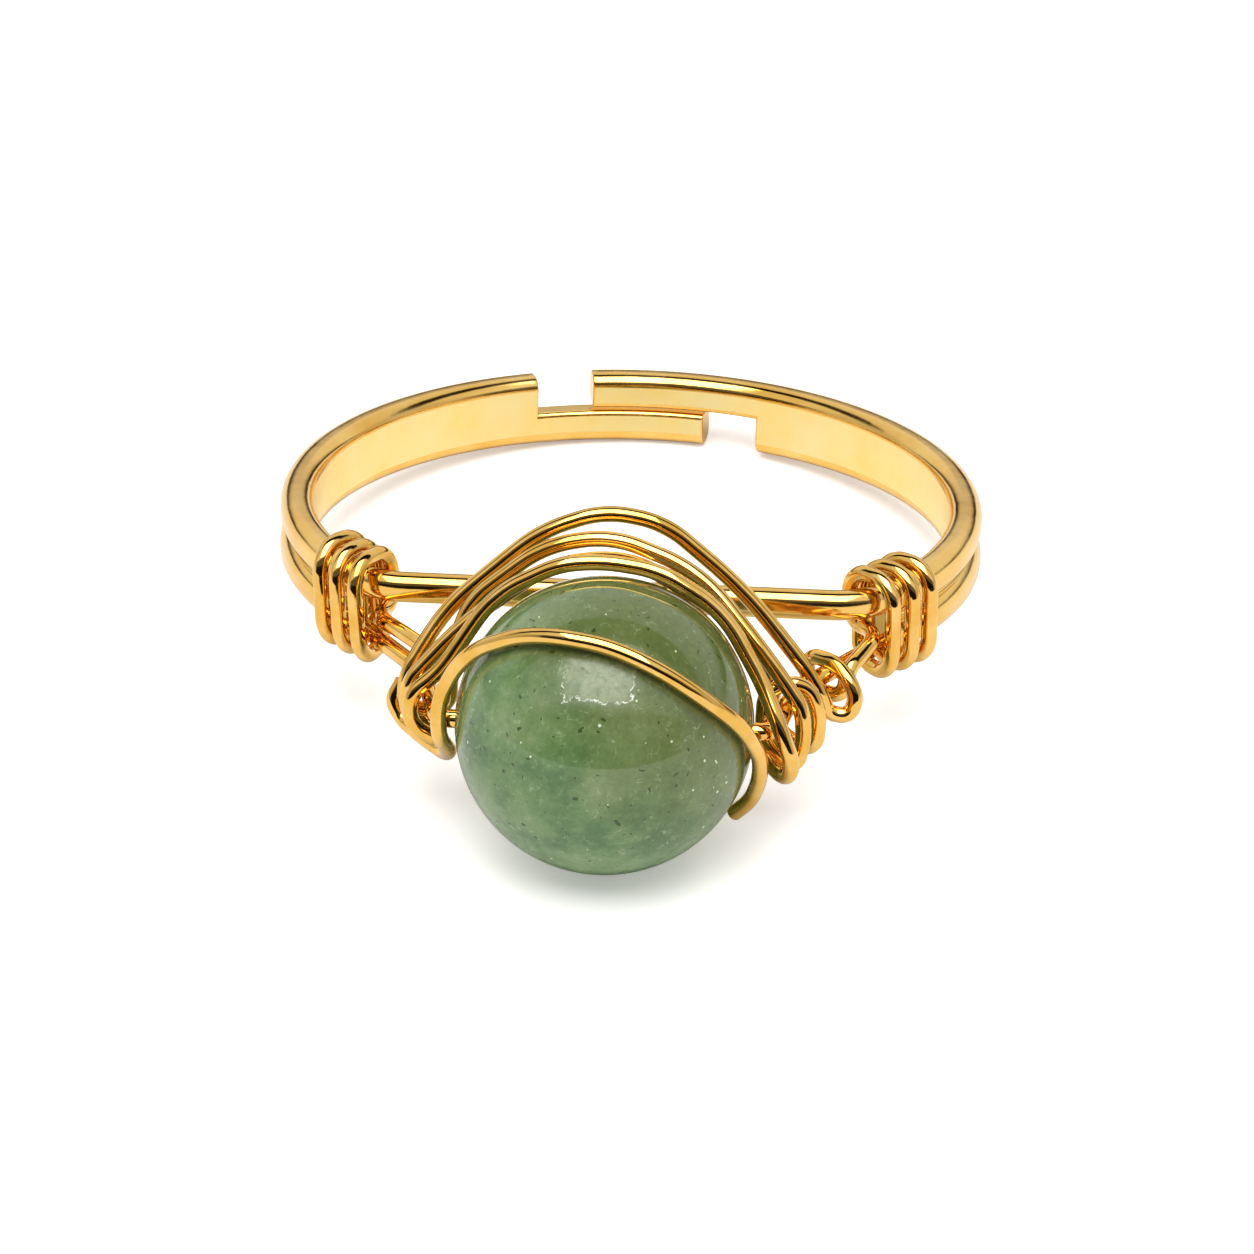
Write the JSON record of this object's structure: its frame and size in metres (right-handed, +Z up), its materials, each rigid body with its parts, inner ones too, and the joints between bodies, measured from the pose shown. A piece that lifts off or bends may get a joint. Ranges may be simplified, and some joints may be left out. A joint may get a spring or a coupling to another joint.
{
  "type": "wire-wrapped bead ring",
  "caption": "Finger ring with an open, adjustable gold-tone band that steps past itself at the back, and a round green stone bead in front, held by thin wires wound over it.",
  "frame": {"origin": "middle of the object's box, on the surface that the ring rests on", "axes": "+Z up, -Y towards the bead at the front, +Y towards the overlap at the back of the band, +X to the right seen from the bead's side"},
  "size_m": [0.0196, 0.026, 0.0084],
  "materials": {
    "gold_band": "polished gold tone",
    "gold_wire": "polished gold tone",
    "jade": "polished, mottled green"
  },
  "bodies": {
    "root": {"band": "gold_band", "bead": "jade", "wrap_wire": "gold_wire", "strut_wire": "gold_wire", "front_wire": "gold_wire"}
  },
  "joints": []
}
